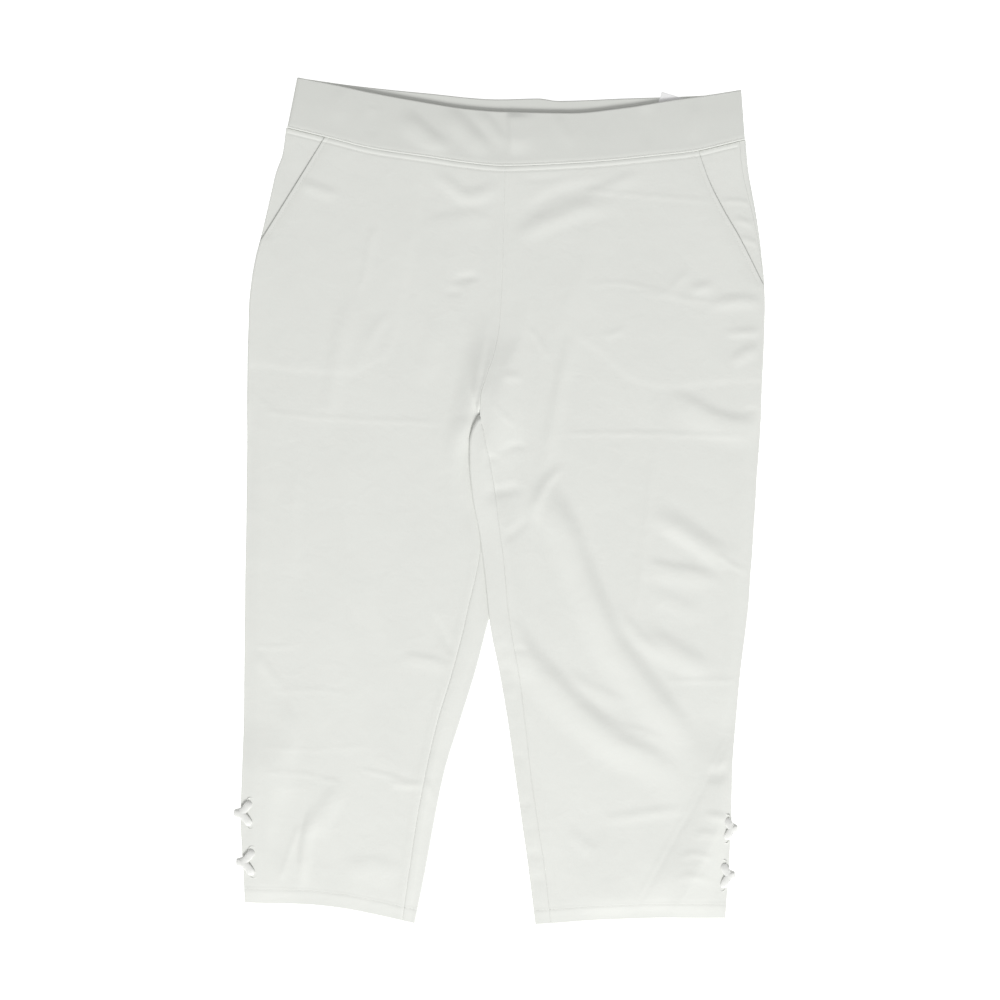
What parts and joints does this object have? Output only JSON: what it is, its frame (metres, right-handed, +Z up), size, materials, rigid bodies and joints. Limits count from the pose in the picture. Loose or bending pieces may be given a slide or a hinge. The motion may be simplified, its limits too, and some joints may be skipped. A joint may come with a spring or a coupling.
{
  "type": "capri pants",
  "caption": "Pull-on capri trousers laid flat with the front up: plain waistband, slanted pockets, and crossed laces round the outer edge of each hem.",
  "frame": {"origin": "on the surface that the trousers lie on, under the middle of their outline", "axes": "+Z up out of the front of the garment, +Y along it towards the waistband, +X towards the wearer's left leg"},
  "size_m": [0.5491, 0.8797, 0.0088],
  "materials": {
    "cloth": "fine matt stretch cloth, off-white",
    "band": "the same cloth, doubled over elastic",
    "lace": "soft round self-coloured cord",
    "label": "smooth white woven tape, blank"
  },
  "bodies": {
    "root": {"back_right": "cloth", "back_left": "cloth", "front_right": "cloth", "front_left": "cloth", "side_panel_right": "cloth", "side_panel_left": "cloth", "pocket_bag_right": "cloth", "pocket_bag_left": "cloth", "waistband_front": "band", "waistband_back": "band", "label": "label", "lace_right_1": "lace", "lace_right_2": "lace", "lace_left_1": "lace", "lace_left_2": "lace"}
  },
  "joints": []
}
